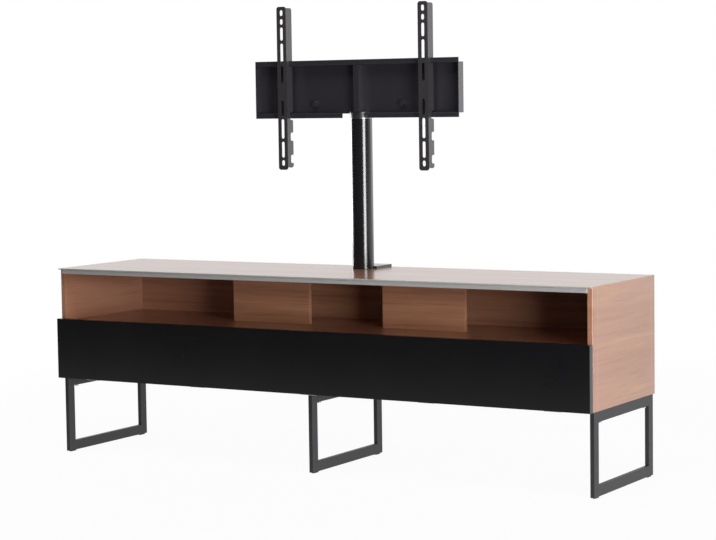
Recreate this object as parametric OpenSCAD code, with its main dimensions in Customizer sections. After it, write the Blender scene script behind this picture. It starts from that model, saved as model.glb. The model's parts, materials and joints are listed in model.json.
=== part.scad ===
// Television cabinet on three sled frames, with a fold-down front flap,
// a column behind the top and a swivelling mount with two screen brackets.
// Drawn with y = 0 on the flap's front face, x = 0 in the middle, z = 0 on the floor.

/* [Cabinet] */
// width over both side panels
cab_w = 1800; // [1700:1:2000]
// depth from the flap's front face to the back edge of the side panels
cab_d = 443; // [430:1:480]
// thickness of every cabinet board
board_t = 16; // [15:0.5:18]
// clear height of the closed compartment behind the flap
lower_h = 144; // [140:1:180]
// clear height of the open niche under the top
niche_h = 147; // [130:1:200]
// depth of the metal edge strip in front of the top
trim_d = 10; // [6:0.5:12]
// height of the upper lip of the edge strip
trim_lip_h = 3.6; // [2:0.1:5]
// height of the groove below that lip
trim_groove_h = 2.6; // [1.5:0.1:4]
// how far the groove and the lower face stop short of the outer faces
trim_end = 15; // [5:1:30]
// radius of the outer front edges of the side panels
arris_r = 4.5; // [2:0.5:6]
// half of the clear width between the two niche panels
gap_half = 128; // [100:1:200]
// length of each niche panel
niche_panel_w = 271; // [200:1:320]
// distance from the flap's front face to the niche panels
niche_panel_y = 236; // [200:1:240]
// distance from the back edge to the rear face of the back panel
back_inset = 4; // [2:0.5:10]
// diameter of the cable holes in the back panel
cable_hole_d = 60; // [40:1:70]
// distance of the cable holes from the middle
cable_hole_x = 440; // [300:1:600]

/* [Flap] */
// thickness of the flap
flap_t = 19; // [18:0.5:22]
// gap between the closed flap and the cabinet
flap_gap = 3; // [3:0.5:4]
// how far the flap stands above the niche floor
flap_over = 8; // [4:0.5:12]

/* [Sled frames] */
// height of each frame without its glides
leg_h = 233; // [180:1:260]
// width of the frame bar, seen from the front
leg_w = 12; // [10:0.5:16]
// depth of the frame bar, seen from the side
leg_bar = 30; // [25:0.5:35]
// distance from the flap's front face to the frames
leg_front = 30; // [28:0.5:40]
// distance from the back edge to the frames
leg_back = 9; // [5:0.5:20]
// distance of the outer frames from the outer faces of the side panels
leg_inset = 2; // [0.5:0.5:4]
// thickness of the glides under the frames
glide_h = 3; // [2:0.5:5]

/* [Flap hinges] */
// distance from one hinge to the next
hinge_step = 390; // [340:1:400]
// length of one hinge
hinge_len = 50; // [44:1:60]
// thickness of the hinge leaves
leaf_t = 1.3; // [1:0.1:1.3]
// radius of the hinge pins
pin_r = 1.1; // [1:0.05:1.2]
// radial clearance of every turning pin
run_gap = 0.05; // [0.03:0.01:0.09]

/* [Flap stays] */
// distance of the fixed pivot behind the hinge axis
stay_back = 129.5; // [120:0.5:140]
// height of the fixed pivot above the hinge axis
stay_up = 31.2; // [31:0.1:34]
// distance of the flap's pivot behind the hinge axis
stay_off = 13.5; // [12:0.5:16]
// length of the arm's rise when the flap is closed
stay_rise = 105; // [95:0.5:110]
// half width of the arm and the link
stay_half = 6; // [5:0.5:7]
// radius of the stay pivots
stay_pin_r = 3; // [2.5:0.1:3.4]

/* [Push latches] */
// distance of the latches from the middle
latch_x = 600; // [500:1:700]
// radius of the latch plungers
plunger_r = 4; // [3:0.1:4.4]
// travel of the latch plungers
plunger_travel = 3; // [2:0.1:4]

/* [Column] */
// outer diameter of the column
column_d = 65; // [60:0.5:66]
// wall thickness of the column
column_wall = 2; // [1.5:0.1:3]
// height of the column above the cabinet top
column_h = 453; // [400:1:600]
// distance from the back edge to the column's axis
column_back = 98; // [92:1:110]
// thickness of the foot plate
foot_t = 8; // [7:0.5:10]
// margin of the foot plate in front of the column
foot_margin = 2; // [1:0.5:4]
// half of the width of the foot plate behind the column's axis
foot_half = 42; // [40:1:50]

/* [Head] */
// height of the turning collar
collar_h = 18; // [16:0.5:24]
// half of the length of the mount plate
plate_half = 351; // [300:1:420]
// height of the mount plate's channel between its two lips
channel_h = 147.5; // [130:0.5:160]
// height of each lip
lip_h = 13; // [10:0.5:16]
// depth of the channel from lips to web
channel_d = 30; // [30:0.5:34]
// sheet thickness of the mount plate
plate_t = 2; // [1.5:0.1:3]
// half of the width of the notch around the collar
notch_half = 43; // [40:1:60]
// half of the width of the post between collar and plate
post_half = 9.5; // [8:0.5:12]
// distance of the post's middle from the column's axis, to the right
post_x = 5; // [0:0.5:8]
// depth of the post
post_d = 26; // [20:0.5:27]
// distance of the two web screws from the middle
web_screw_x = 151; // [100:1:180]

/* [Screen brackets] */
// length of each bracket
bracket_l = 492; // [450:1:520]
// width of the slotted front strip
strip_w = 33; // [28:0.5:40]
// corner radius of the strip
strip_r = 8; // [4:0.5:12]
// width of the slots
slot_w = 10; // [8:0.5:13]
// length of the two matching screw slots
screw_slot_l = 59; // [50:1:62]
// distance of each bracket's middle from the mount's middle
bracket_x = 243.8; // [200:0.1:280]
// height of the bracket's top above the mount plate's upper lip
bracket_rise = 163.5; // [150:0.5:180]
// depth of the bracket's side flange
flange_d = 32.5; // [30:0.5:33]
// radius of the clamping screws
clamp_r = 2.5; // [2:0.1:3]

/* [Hidden] */
$fn = 48;

cab_half = cab_w / 2;
in_x = cab_half - board_t;
body_y = flap_t + flap_gap;
back_y1 = cab_d - back_inset;
back_y0 = back_y1 - board_t;

leg_z = glide_h + leg_h;
floor_z = leg_z + board_t;
shelf_z = floor_z + lower_h;
niche_z = shelf_z + board_t;
roof_z = niche_z + niche_h;
top_z = roof_z + board_t;
flap_h = niche_z + flap_over - leg_z;

leg_xs = [-cab_half + leg_inset + leg_w / 2, 0, cab_half - leg_inset - leg_w / 2];
leg_y1 = cab_d - leg_back;
leg_screw_off = 50;
leg_screw_ys = [leg_front + leg_screw_off, leg_y1 - leg_screw_off];
leg_screw_r = 3;
leg_screw_in = 11;

end_zs = [leg_z, shelf_z];
cam_off = 50;
cam_ys = [body_y + cam_off, back_y0 - cam_off];
cam_r = 7.5;
cam_in = 34;
cam_depth = 12.5;
dowel_off = 110;
dowel_ys = [body_y + dowel_off, back_y0 - dowel_off];
dowel_r = 4;
dowel_in = 12;
dowel_out = 18;
wood_gap = 0.05;
niche_dowel_off = 40;
niche_dowel_xs = [gap_half + niche_dowel_off, gap_half + niche_panel_w - niche_dowel_off];
back_screw_step = 280;
back_screw_xs = [for (i = [-2.5:1:2.5]) i * back_screw_step];
back_screw_r = 2;
back_screw_in = 24;
back_head_r = 4.5;
back_head_h = 2.5;

axis_y = flap_t + 1.5;
axis_z = leg_z - 2.2;
knuckle_r = 2.2;
hinge_xs = [for (i = [-2:2]) i * hinge_step];
knuckle_l = hinge_len * 0.3;
knuckle_gap = 0.3;
leaf_z0 = leg_z + 0.4;
leaf_z1 = leg_z + board_t - 2;
hinge_screw_z = leg_z + 8.5;
small_r = 1.4;
small_head_r = 2.5;
small_len = 11;

arm_a = [axis_y + stay_back, axis_z + stay_up];
pivot_b = [axis_y + stay_off, axis_z + stay_rise];
arm_len = norm([stay_off, stay_rise]);
arm_angle = atan2(stay_rise, stay_off);
arm_c = [arm_a[0] + stay_off, arm_a[1] + stay_rise];
link_len = norm([stay_back, stay_up]);
link_angle = atan2(stay_up, stay_back);
stay_plate_t = 2;
arm_x0 = in_x - 2.5;
arm_x1 = arm_x0 - 4;
link_x0 = arm_x1 - 0.5;
link_x1 = link_x0 - 4;
tab_x0 = link_x1 - 0.5;
tab_x1 = tab_x0 - 3;
open_gap = 0.4;
stay_reach = 26;
stay_lift = 4;
stay_screws = [
  [arm_a[0] - stay_reach, arm_a[1] + stay_lift], [arm_a[0] + stay_reach, arm_a[1] + stay_lift],
  [arm_a[0], arm_a[1] + stay_lift + stay_reach]
];
flap_plate_w = 25;
flap_plate_half = 17;
flap_screw_off = 11;

latch_z = shelf_z - 6;
latch_y0 = body_y + 4;
latch_len = 70;
latch_half = 7;
strike_t = 1.2;
plunger_y0 = flap_t + strike_t + 0.3;

column_y = cab_d - column_back;
column_r = column_d / 2;
tube_z0 = top_z + foot_t;
collar_z = top_z + column_h;
foot_r = column_r + foot_margin;
foot_rear_y = column_y + 7;
foot_bolt_r = 4;
foot_head_r = 8;
foot_head_h = 4;
foot_bolt_x = 22;
foot_bolt_y = column_y + 51;
foot_screw_x = 15;
foot_screw_y = column_y - 12;
counter_t = 4;
counter_half = 45;
counter_l = 118;
nut_h = 6.5;
spigot_r = 12;
washer_r = 15.6;
washer_t = 2.5;
recess_h = 5;

head_z = collar_z + collar_h;
lip_y = column_y - 39;
web_y = lip_y + channel_d - plate_t;
lip_z0 = collar_z;
low_z = lip_z0 + lip_h;
high_z = low_z + channel_h;
lip_z1 = high_z + lip_h;
web_notch = column_r + 1;
post_y0 = web_y - post_d;
post_top = high_z - plate_t - 1;
post_bolt_zs = [head_z + 32, head_z + 107];
web_screw_z = low_z + 30;
web_head_l = 9;

strip_y = lip_y - 17;
bracket_z1 = lip_z1 + bracket_rise;
bracket_z0 = bracket_z1 - bracket_l;
flange_y = strip_y + flange_d;
bracket_xs = [-bracket_x, bracket_x];
clamp_y = lip_y + 1;
clamp_tab_z = lip_z0 - 25;
clamp_off = 10;

wood_tone = [0.7, 0.5, 0.4];
black_tone = [0.09, 0.09, 0.1];
frame_tone = [0.14, 0.13, 0.14];
steel_tone = [0.62, 0.62, 0.64];
mount_tone = [0.2, 0.19, 0.22];
trim_tone = [0.66, 0.66, 0.67];

// a block given by its two limits along each axis
module block(x, y, z) {
  translate([x[0], y[0], z[0]])
    cube([x[1] - x[0], y[1] - y[0], z[1] - z[0]]);
}

// round bars along each axis, the limits given along the bar
module bar_x(r, x, y, z) {
  translate([min(x[0], x[1]), y, z])
    rotate([0, 90, 0])
      cylinder(r = r, h = abs(x[1] - x[0]));
}

module bar_y(r, x, y, z) {
  translate([x, min(y[0], y[1]), z])
    rotate([-90, 0, 0])
      cylinder(r = r, h = abs(y[1] - y[0]));
}

module bar_z(r, x, y, z) {
  translate([x, y, min(z[0], z[1])])
    cylinder(r = r, h = abs(z[1] - z[0]));
}

// a flat outline in y and z, given thickness along x
module sheet_x(x) {
  translate([min(x[0], x[1]), 0, 0])
    rotate([90, 0, 90])
      linear_extrude(abs(x[1] - x[0]))
        children();
}

// a flat outline in x and z, given thickness along y
module sheet_y(y) {
  translate([0, max(y[0], y[1]), 0])
    rotate([90, 0, 0])
      linear_extrude(abs(y[1] - y[0]))
        children();
}

// hexagon across flats, for bolt heads and nuts
module hexagon(flats) {
  circle(r = flats / sqrt(3), $fn = 6);
}

// brings the drawing to the middle of the footprint
module placed() {
  translate([0, -cab_d / 2, 0])
    children();
}

// draws the left-hand piece, or its mirror image on the right
module handed(side) {
  if (side > 0)
    mirror([1, 0, 0])
      children();
  else
    children();
}

// countersunk wood screw with its flush head at y, pointing along dir
module small_screw(x, y, z, dir, grow = 0) {
  translate([x, y, z])
    rotate([-90 * dir, 0, 0]) {
      cylinder(r1 = small_head_r + grow, r2 = small_r + grow, h = 1.1);
      cylinder(r = small_r + grow, h = small_len + grow);
    }
}

// bar with two round ends, from the origin along x
module round_bar(len, half) {
  circle(r = half);
  translate([len, 0])
    circle(r = half);
  translate([0, -half])
    square([len, 2 * half]);
}

// rectangle with round corners
module round_rect(w, h, r) {
  translate([r, 0])
    square([w - 2 * r, h]);
  translate([0, r])
    square([w, h - 2 * r]);
  for (x = [r, w - r], y = [r, h - r])
    translate([x, y])
      circle(r = r);
}

// upright slot with round ends around a centre
module slot_v(x, z, w, l) {
  translate([x - w / 2, z - l / 2 + w / 2])
    square([w, l - w]);
  for (s = [-1, 1])
    translate([x, z + s * (l - w) / 2])
      circle(r = w / 2);
}

// holes for the cam bolts and dowels in the end of a lying board
module end_holes(z0) {
  zm = z0 + board_t / 2;
  for (s = [-1, 1]) {
    for (y = cam_ys) {
      bar_x(4, [s * (in_x - cam_in), s * (in_x + 1)], y, zm);
      bar_z(cam_r, s * (in_x - cam_in), y, [z0 - 1, z0 + cam_depth]);
    }
    for (y = dowel_ys)
      bar_x(dowel_r + wood_gap, [s * (in_x - dowel_out), s * (in_x + 1)], y, zm);
  }
}

// what the rounded front edge takes off at one outer face
module front_arris(s) {
  x = s * cab_half;
  difference() {
    block([min(x, x - s * arris_r) - (1 - s) / 2, max(x, x - s * arris_r) + (1 + s) / 2],
      [body_y - 1, body_y + arris_r], [leg_z - 1, top_z + 1]);
    bar_z(arris_r, x - s * arris_r, body_y + arris_r, [leg_z - 2, top_z + 2]);
  }
}

// side panels run up to the mitre at the top edge
module side_panel() {
  color(wood_tone)
    placed()
      difference() {
        sheet_y([body_y, cab_d])
          polygon([[-cab_half, leg_z], [-in_x, leg_z], [-in_x, roof_z], [-cab_half, top_z]]);
        front_arris(-1);
        for (z0 = end_zs) {
          for (y = cam_ys)
            bar_x(2.55, [-in_x - 11, -in_x + 1], y, z0 + board_t / 2);
          for (y = dowel_ys)
            bar_x(dowel_r + wood_gap, [-in_x - dowel_in, -in_x + 1], y, z0 + board_t / 2);
        }
        for (y = leg_screw_ys)
          bar_z(leg_screw_r + wood_gap, leg_xs[0], y, [leg_z - 1, leg_z + leg_screw_in]);
        for (p = stay_screws)
          bar_x(small_r + wood_gap, [-in_x - small_len, -in_x + 1], p[0], p[1]);
      }
}

module side_panel_left() {
  side_panel();
}

module side_panel_right() {
  mirror([1, 0, 0])
    side_panel();
}

module top_panel() {
  color(wood_tone)
    placed()
      difference() {
        sheet_y([body_y, cab_d])
          polygon([[-in_x, roof_z], [in_x, roof_z], [cab_half, top_z], [-cab_half, top_z]]);
        for (s = [-1, 1]) {
          front_arris(s);
          bar_z(foot_bolt_r + 0.3, s * foot_bolt_x, foot_bolt_y, [roof_z - 1, top_z + 1]);
          bar_z(foot_bolt_r + 0.3, s * foot_screw_x, foot_screw_y, [roof_z - 1, top_z + 1]);
          for (x = niche_dowel_xs)
            bar_z(dowel_r + wood_gap, s * x, niche_panel_y + board_t / 2, [roof_z - 1, roof_z + dowel_in]);
        }
      }
}

// edge strip with an upper lip, a groove and a flat lower face
module top_trim() {
  color(trim_tone)
    placed() {
      block([-cab_half, cab_half], [body_y - trim_d, body_y], [top_z - trim_lip_h, top_z]);
      sheet_x([trim_end - cab_half, cab_half - trim_end])
        polygon([
          [body_y - trim_d, roof_z], [body_y, roof_z], [body_y, top_z - trim_lip_h / 2],
          [body_y - trim_d + 3, top_z - trim_lip_h / 2],
          [body_y - trim_d + 3, top_z - trim_lip_h - trim_groove_h],
          [body_y - trim_d, top_z - trim_lip_h - trim_groove_h]
        ]);
    }
}

module bottom_panel() {
  color(wood_tone)
    placed()
      difference() {
        block([-in_x, in_x], [body_y, cab_d], [leg_z, floor_z]);
        end_holes(leg_z);
        for (y = leg_screw_ys)
          bar_z(leg_screw_r + wood_gap, 0, y, [leg_z - 1, leg_z + leg_screw_in]);
        for (y = dowel_ys)
          bar_z(dowel_r + wood_gap, 0, y, [floor_z - dowel_in, floor_z + 1]);
        for (x = hinge_xs, s = [-1, 1])
          small_screw(x + s * (hinge_len / 2 - 8), axis_y + 0.2, hinge_screw_z, 1, wood_gap);
      }
}

module shelf_panel() {
  color(wood_tone)
    placed()
      difference() {
        block([-in_x, in_x], [body_y, back_y0], [shelf_z, niche_z]);
        end_holes(shelf_z);
        for (y = dowel_ys)
          bar_z(dowel_r + wood_gap, 0, y, [shelf_z - 1, shelf_z + dowel_in]);
        for (s = [-1, 1], x = niche_dowel_xs)
          bar_z(dowel_r + wood_gap, s * x, niche_panel_y + board_t / 2, [niche_z - dowel_in, niche_z + 1]);
        for (x = back_screw_xs)
          bar_y(back_screw_r + wood_gap, x, [back_y0 - back_screw_in, back_y0 + 1], shelf_z + board_t / 2);
        for (s = [-1, 1], t = [-1, 1])
          bar_z(1.5 + wood_gap, s * latch_x + t * 11, latch_y0 + 35, [shelf_z - 1, shelf_z + 9]);
      }
}

module back_panel() {
  color(wood_tone)
    placed()
      difference() {
        block([-in_x, in_x], [back_y0, back_y1], [floor_z, roof_z]);
        for (s = [-1, 1])
          bar_y(cable_hole_d / 2, s * cable_hole_x, [back_y0 - 1, back_y1 + 1], floor_z + lower_h / 2);
        for (x = back_screw_xs) {
          bar_y(back_screw_r + 0.2, x, [back_y0 - 1, back_y1 + 1], shelf_z + board_t / 2);
          translate([x, back_y1 - back_head_h, shelf_z + board_t / 2])
            rotate([-90, 0, 0])
              cylinder(r1 = back_screw_r + 0.2, r2 = back_head_r + 0.2, h = back_head_h);
        }
      }
}

// short upright panels that screen the rear of the niche
module niche_panel() {
  color(wood_tone)
    placed()
      difference() {
        block([-gap_half - niche_panel_w, -gap_half], [niche_panel_y, niche_panel_y + board_t],
          [niche_z, roof_z]);
        for (x = niche_dowel_xs) {
          bar_z(dowel_r + wood_gap, -x, niche_panel_y + board_t / 2, [niche_z - 1, niche_z + dowel_out]);
          bar_z(dowel_r + wood_gap, -x, niche_panel_y + board_t / 2, [roof_z - dowel_out, roof_z + 1]);
        }
      }
}

module niche_panel_left() {
  niche_panel();
}

module niche_panel_right() {
  mirror([1, 0, 0])
    niche_panel();
}

module center_divider() {
  color(wood_tone)
    placed()
      difference() {
        block([-board_t / 2, board_t / 2], [body_y, back_y0], [floor_z, shelf_z]);
        for (y = dowel_ys) {
          bar_z(dowel_r + wood_gap, 0, y, [floor_z - 1, floor_z + dowel_out]);
          bar_z(dowel_r + wood_gap, 0, y, [shelf_z - dowel_out, shelf_z + 1]);
        }
      }
}

// wooden dowels between the boards
module wood_dowels() {
  color([0.8, 0.66, 0.45])
    placed() {
      for (s = [-1, 1], z0 = end_zs, y = dowel_ys)
        bar_x(dowel_r, [s * (in_x - dowel_out), s * (in_x + dowel_in)], y, z0 + board_t / 2);
      for (y = dowel_ys) {
        bar_z(dowel_r, 0, y, [floor_z - dowel_in, floor_z + dowel_out]);
        bar_z(dowel_r, 0, y, [shelf_z - dowel_out, shelf_z + dowel_in]);
      }
      for (s = [-1, 1], x = niche_dowel_xs) {
        bar_z(dowel_r, s * x, niche_panel_y + board_t / 2, [niche_z - dowel_in, niche_z + dowel_out]);
        bar_z(dowel_r, s * x, niche_panel_y + board_t / 2, [roof_z - dowel_out, roof_z + dowel_in]);
      }
    }
}

// cam discs with a driver slot, let into the boards from below
module cam_discs() {
  color(steel_tone)
    placed()
      for (s = [-1, 1], z0 = end_zs, y = cam_ys)
        difference() {
          bar_z(cam_r - wood_gap, s * (in_x - cam_in), y, [z0 + 0.3, z0 + cam_depth]);
          translate([s * (in_x - cam_in) - 1, y - 5, z0])
            cube([2, 10, 2.3]);
          bar_x(4, [s * (in_x - cam_in), s * (in_x - cam_in + 9)], y, z0 + board_t / 2);
        }
}

// bolts that the cam discs draw in, screwed into the side panels
module cam_bolts() {
  color(steel_tone)
    placed()
      for (s = [-1, 1], z0 = end_zs, y = cam_ys) {
        zm = z0 + board_t / 2;
        bar_x(3.5, [s * (in_x - cam_in), s * (in_x - cam_in + 3)], y, zm);
        bar_x(2.2, [s * (in_x - cam_in + 3), s * (in_x - cam_in + 9)], y, zm);
        bar_x(3.5, [s * (in_x - cam_in + 9), s * in_x], y, zm);
        bar_x(2.5, [s * in_x, s * (in_x + 11)], y, zm);
      }
}

// countersunk screws from the back panel into the shelf
module back_screws() {
  color(steel_tone)
    placed()
      for (x = back_screw_xs)
        translate([x, back_y1, shelf_z + board_t / 2])
          rotate([90, 0, 0]) {
            cylinder(r1 = back_head_r, r2 = back_screw_r, h = back_head_h);
            cylinder(r = back_screw_r, h = board_t + back_screw_in);
          }
}

// the front flap covers the compartment and the edge of the niche floor
module flap_front() {
  color(black_tone)
    placed()
      difference() {
        block([-cab_half, cab_half], [0, flap_t], [leg_z, leg_z + flap_h]);
        for (x = hinge_xs, s = [-1, 1])
          small_screw(x + s * (hinge_len / 2 - 14), axis_y - 0.2, hinge_screw_z, -1, wood_gap);
        for (s = [-1, 1], t = [-1, 1])
          small_screw(s * (tab_x1 - flap_screw_off), flap_t + 2, pivot_b[1] + t * flap_screw_off, -1, wood_gap);
      }
}

// one closed frame of flat bar, standing from front to back
module leg_frame(x) {
  color(frame_tone)
    placed()
      difference() {
        block([x - leg_w / 2, x + leg_w / 2], [leg_front, leg_y1], [glide_h, leg_z]);
        block([x - leg_w, x + leg_w], [leg_front + leg_bar, leg_y1 - leg_bar],
          [glide_h + leg_bar, leg_z - leg_bar]);
        for (y = leg_screw_ys)
          bar_z(leg_screw_r + 0.2, x, y, [leg_z - leg_bar - 1, leg_z + 1]);
      }
}

module leg_frame_left() {
  leg_frame(leg_xs[0]);
}

module leg_frame_middle() {
  leg_frame(leg_xs[1]);
}

module leg_frame_right() {
  leg_frame(leg_xs[2]);
}

module leg_screws() {
  color(frame_tone)
    placed()
      for (x = leg_xs, y = leg_screw_ys)
        difference() {
          union() {
            bar_z(5, x, y, [leg_z - leg_bar - 4, leg_z - leg_bar]);
            bar_z(leg_screw_r, x, y, [leg_z - leg_bar, leg_z + leg_screw_in]);
          }
          translate([x, y, leg_z - leg_bar - 5])
            linear_extrude(3.5)
              hexagon(4);
        }
}

// plastic glides under the frames
module floor_glides() {
  color([0.1, 0.1, 0.1])
    placed()
      for (x = leg_xs, y = [leg_front + 22, leg_y1 - 22])
        translate([x - leg_w / 2 + 1, y - 14, 0])
          linear_extrude(glide_h)
            round_rect(leg_w - 2, 28, (leg_w - 2) / 2 - 0.5);
}

// knuckles and pin of one hinge share this axis
module knuckle(x0, x1) {
  bar_x(knuckle_r, [x0, x1], axis_y, axis_z);
}

// leaves on the front edge of the bottom panel
module hinge_leaves_body() {
  color(steel_tone)
    placed()
      for (x = hinge_xs)
        difference() {
          union() {
            block([x - hinge_len / 2, x + hinge_len / 2], [body_y - leaf_t, body_y], [leaf_z0, leaf_z1]);
            for (s = [-1, 1]) {
              x0 = min(x + s * hinge_len / 2, x + s * (hinge_len / 2 - knuckle_l));
              knuckle(x0, x0 + knuckle_l);
              block([x0, x0 + knuckle_l], [body_y - leaf_t, body_y], [axis_z, leaf_z0 + 0.1]);
            }
          }
          bar_x(pin_r + run_gap, [x - hinge_len, x + hinge_len], axis_y, axis_z);
          for (s = [-1, 1])
            small_screw(x + s * (hinge_len / 2 - 8), body_y - leaf_t, hinge_screw_z, 1, wood_gap);
        }
}

// leaves on the back of the flap
module hinge_leaves_flap() {
  color(steel_tone)
    placed()
      for (x = hinge_xs)
        difference() {
          k = hinge_len / 2 - knuckle_l - knuckle_gap;
          union() {
            block([x - hinge_len / 2, x + hinge_len / 2], [flap_t, flap_t + leaf_t], [leaf_z0, leaf_z1]);
            knuckle(x - k, x + k);
            block([x - k, x + k], [flap_t, flap_t + leaf_t], [axis_z, leaf_z0 + 0.1]);
          }
          bar_x(pin_r + run_gap, [x - hinge_len, x + hinge_len], axis_y, axis_z);
          for (s = [-1, 1])
            small_screw(x + s * (hinge_len / 2 - 14), flap_t + leaf_t, hinge_screw_z, -1, wood_gap);
        }
}

// hinge pins with riveted heads on the outer knuckles
module hinge_pins() {
  color(steel_tone)
    placed()
      for (x = hinge_xs) {
        bar_x(pin_r, [x - hinge_len / 2, x + hinge_len / 2], axis_y, axis_z);
        for (s = [-1, 1])
          bar_x(pin_r + 0.7, [x + s * hinge_len / 2, x + s * (hinge_len / 2 + 0.8)], axis_y, axis_z);
      }
}

module hinge_screws_body() {
  color(steel_tone)
    placed()
      for (x = hinge_xs, s = [-1, 1])
        small_screw(x + s * (hinge_len / 2 - 8), body_y - leaf_t, hinge_screw_z, 1);
}

module hinge_screws_flap() {
  color(steel_tone)
    placed()
      for (x = hinge_xs, s = [-1, 1])
        small_screw(x + s * (hinge_len / 2 - 14), flap_t + leaf_t, hinge_screw_z, -1);
}

// plate with the fixed pivot of one stay, on the inner face of the side panel
module stay_plate(side) {
  color(steel_tone)
    placed()
      handed(side)
        difference() {
          union() {
            sheet_x([-in_x, -in_x + stay_plate_t])
              difference() {
                union() {
                  translate([arm_a[0] - stay_reach, arm_a[1] + stay_lift])
                    round_bar(2 * stay_reach, 8);
                  translate([arm_a[0], arm_a[1] + stay_lift])
                    rotate(90)
                      round_bar(stay_reach, 8);
                }
                for (p = stay_screws)
                  translate(p)
                    circle(r = small_r + 0.1);
              }
            bar_x(stay_pin_r + 2, [-in_x + stay_plate_t, -arm_x0], arm_a[0], arm_a[1]);
            bar_x(stay_pin_r, [-arm_x0, -arm_x1 + 0.2], arm_a[0], arm_a[1]);
            bar_x(stay_pin_r + 2, [-arm_x1 + 0.2, -arm_x1 + 1.4], arm_a[0], arm_a[1]);
          }
        }
}

module stay_plate_left() {
  stay_plate(-1);
}

module stay_plate_right() {
  stay_plate(1);
}

// arm from the fixed pivot up to the link
module stay_arm(side) {
  color(steel_tone)
    placed()
      handed(side) {
        sheet_x([-arm_x0 + 0.1, -arm_x1])
          translate(arm_a)
            rotate(arm_angle)
              difference() {
                round_bar(arm_len, stay_half);
                circle(r = stay_pin_r + run_gap);
              }
        bar_x(stay_pin_r, [-arm_x1, -link_x1 + 0.2], arm_c[0], arm_c[1]);
        bar_x(stay_pin_r + 2, [-link_x1 + 0.2, -link_x1 + 1.2], arm_c[0], arm_c[1]);
      }
}

module stay_arm_left() {
  stay_arm(-1);
}

module stay_arm_right() {
  stay_arm(1);
}

// link from the arm to the flap, always parallel to itself
module stay_link(side) {
  color(steel_tone)
    placed()
      handed(side)
        sheet_x([-link_x0 + 0.1, -link_x1])
          translate(pivot_b)
            rotate(link_angle)
              difference() {
                round_bar(link_len, stay_half);
                circle(r = stay_pin_r + open_gap);
                translate([link_len, 0])
                  circle(r = stay_pin_r + run_gap);
              }
}

module stay_link_left() {
  stay_link(-1);
}

module stay_link_right() {
  stay_link(1);
}

// angle bracket on the back of the flap with the link's front pin
module flap_bracket(side) {
  color(steel_tone)
    placed()
      handed(side)
        difference() {
          union() {
            sheet_x([-tab_x0, -tab_x1])
              union() {
                translate(pivot_b)
                  circle(r = 8);
                translate([flap_t, pivot_b[1] - 8])
                  square([pivot_b[0] - flap_t, 16]);
              }
            block([-tab_x0, -tab_x0 + flap_plate_w], [flap_t, flap_t + 2],
              [pivot_b[1] - flap_plate_half, pivot_b[1] + flap_plate_half]);
            bar_x(stay_pin_r, [-link_x0 - 0.3, -tab_x0], pivot_b[0], pivot_b[1]);
            bar_x(stay_pin_r + 1.8, [-link_x0 - 1.2, -link_x0 - 0.3], pivot_b[0], pivot_b[1]);
          }
          for (t = [-1, 1])
            small_screw(-tab_x1 + flap_screw_off, flap_t + 2, pivot_b[1] + t * flap_screw_off, -1, wood_gap);
        }
}

module flap_bracket_left() {
  flap_bracket(-1);
}

module flap_bracket_right() {
  flap_bracket(1);
}

// round-head screws of the stay plates
module stay_screws_body() {
  color(steel_tone)
    placed()
      for (side = [-1, 1])
        handed(side)
          for (p = stay_screws) {
            bar_x(small_r, [-in_x - small_len, -in_x + stay_plate_t], p[0], p[1]);
            bar_x(2.6, [-in_x + stay_plate_t, -in_x + stay_plate_t + 0.35], p[0], p[1]);
          }
}

module stay_screws_flap() {
  color(steel_tone)
    placed()
      for (side = [-1, 1])
        handed(side)
          for (t = [-1, 1])
            small_screw(-tab_x1 + flap_screw_off, flap_t + 2, pivot_b[1] + t * flap_screw_off, -1);
}

// push latch under the niche floor, with two ears
module latch_body(side) {
  color([0.3, 0.3, 0.31])
    placed()
      handed(side)
        difference() {
          union() {
            block([-latch_x - latch_half, -latch_x + latch_half], [latch_y0, latch_y0 + latch_len],
              [shelf_z - 12, shelf_z]);
            block([-latch_x - 16, -latch_x + 16], [latch_y0 + 28, latch_y0 + 42],
              [shelf_z - 2, shelf_z]);
          }
          bar_y(plunger_r + run_gap, -latch_x, [latch_y0 - 1, latch_y0 + 44], latch_z);
          for (t = [-1, 1])
            bar_z(1.6, -latch_x + t * 11, latch_y0 + 35, [shelf_z - 3, shelf_z + 1]);
        }
}

module latch_body_left() {
  latch_body(-1);
}

module latch_body_right() {
  latch_body(1);
}

module latch_plunger(side) {
  color([0.8, 0.8, 0.8])
    placed()
      handed(side)
        bar_y(plunger_r, -latch_x, [plunger_y0, latch_y0 + 44 - plunger_travel - 1], latch_z);
}

module latch_plunger_left() {
  latch_plunger(-1);
}

module latch_plunger_right() {
  latch_plunger(1);
}

module latch_screws() {
  color(steel_tone)
    placed()
      for (s = [-1, 1], t = [-1, 1]) {
        bar_z(1.5, s * latch_x + t * 11, latch_y0 + 35, [shelf_z - 2, shelf_z + 9]);
        bar_z(2.8, s * latch_x + t * 11, latch_y0 + 35, [shelf_z - 3.6, shelf_z - 2]);
      }
}

// discs on the back of the flap where the plungers push
module strike_plates() {
  color(steel_tone)
    placed()
      for (s = [-1, 1])
        bar_y(8, s * latch_x, [flap_t, flap_t + strike_t], latch_z);
}

// foot plate: half round in front of the column, wider and square behind it
module foot_plate() {
  color(black_tone)
    placed()
      difference() {
        union() {
          bar_z(foot_r, 0, column_y, [top_z, tube_z0]);
          block([-foot_half, foot_half], [foot_rear_y, cab_d], [top_z, tube_z0]);
        }
        for (s = [-1, 1]) {
          bar_z(foot_bolt_r + 0.3, s * foot_bolt_x, foot_bolt_y, [top_z - 1, tube_z0 + 1]);
          translate([s * foot_bolt_x, foot_bolt_y, tube_z0 - foot_head_h])
            cylinder(r1 = foot_bolt_r + 0.3, r2 = foot_head_r + 0.3, h = foot_head_h);
          bar_z(foot_bolt_r + wood_gap, s * foot_screw_x, foot_screw_y, [top_z - 1, tube_z0 + 1]);
        }
      }
}

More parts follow.
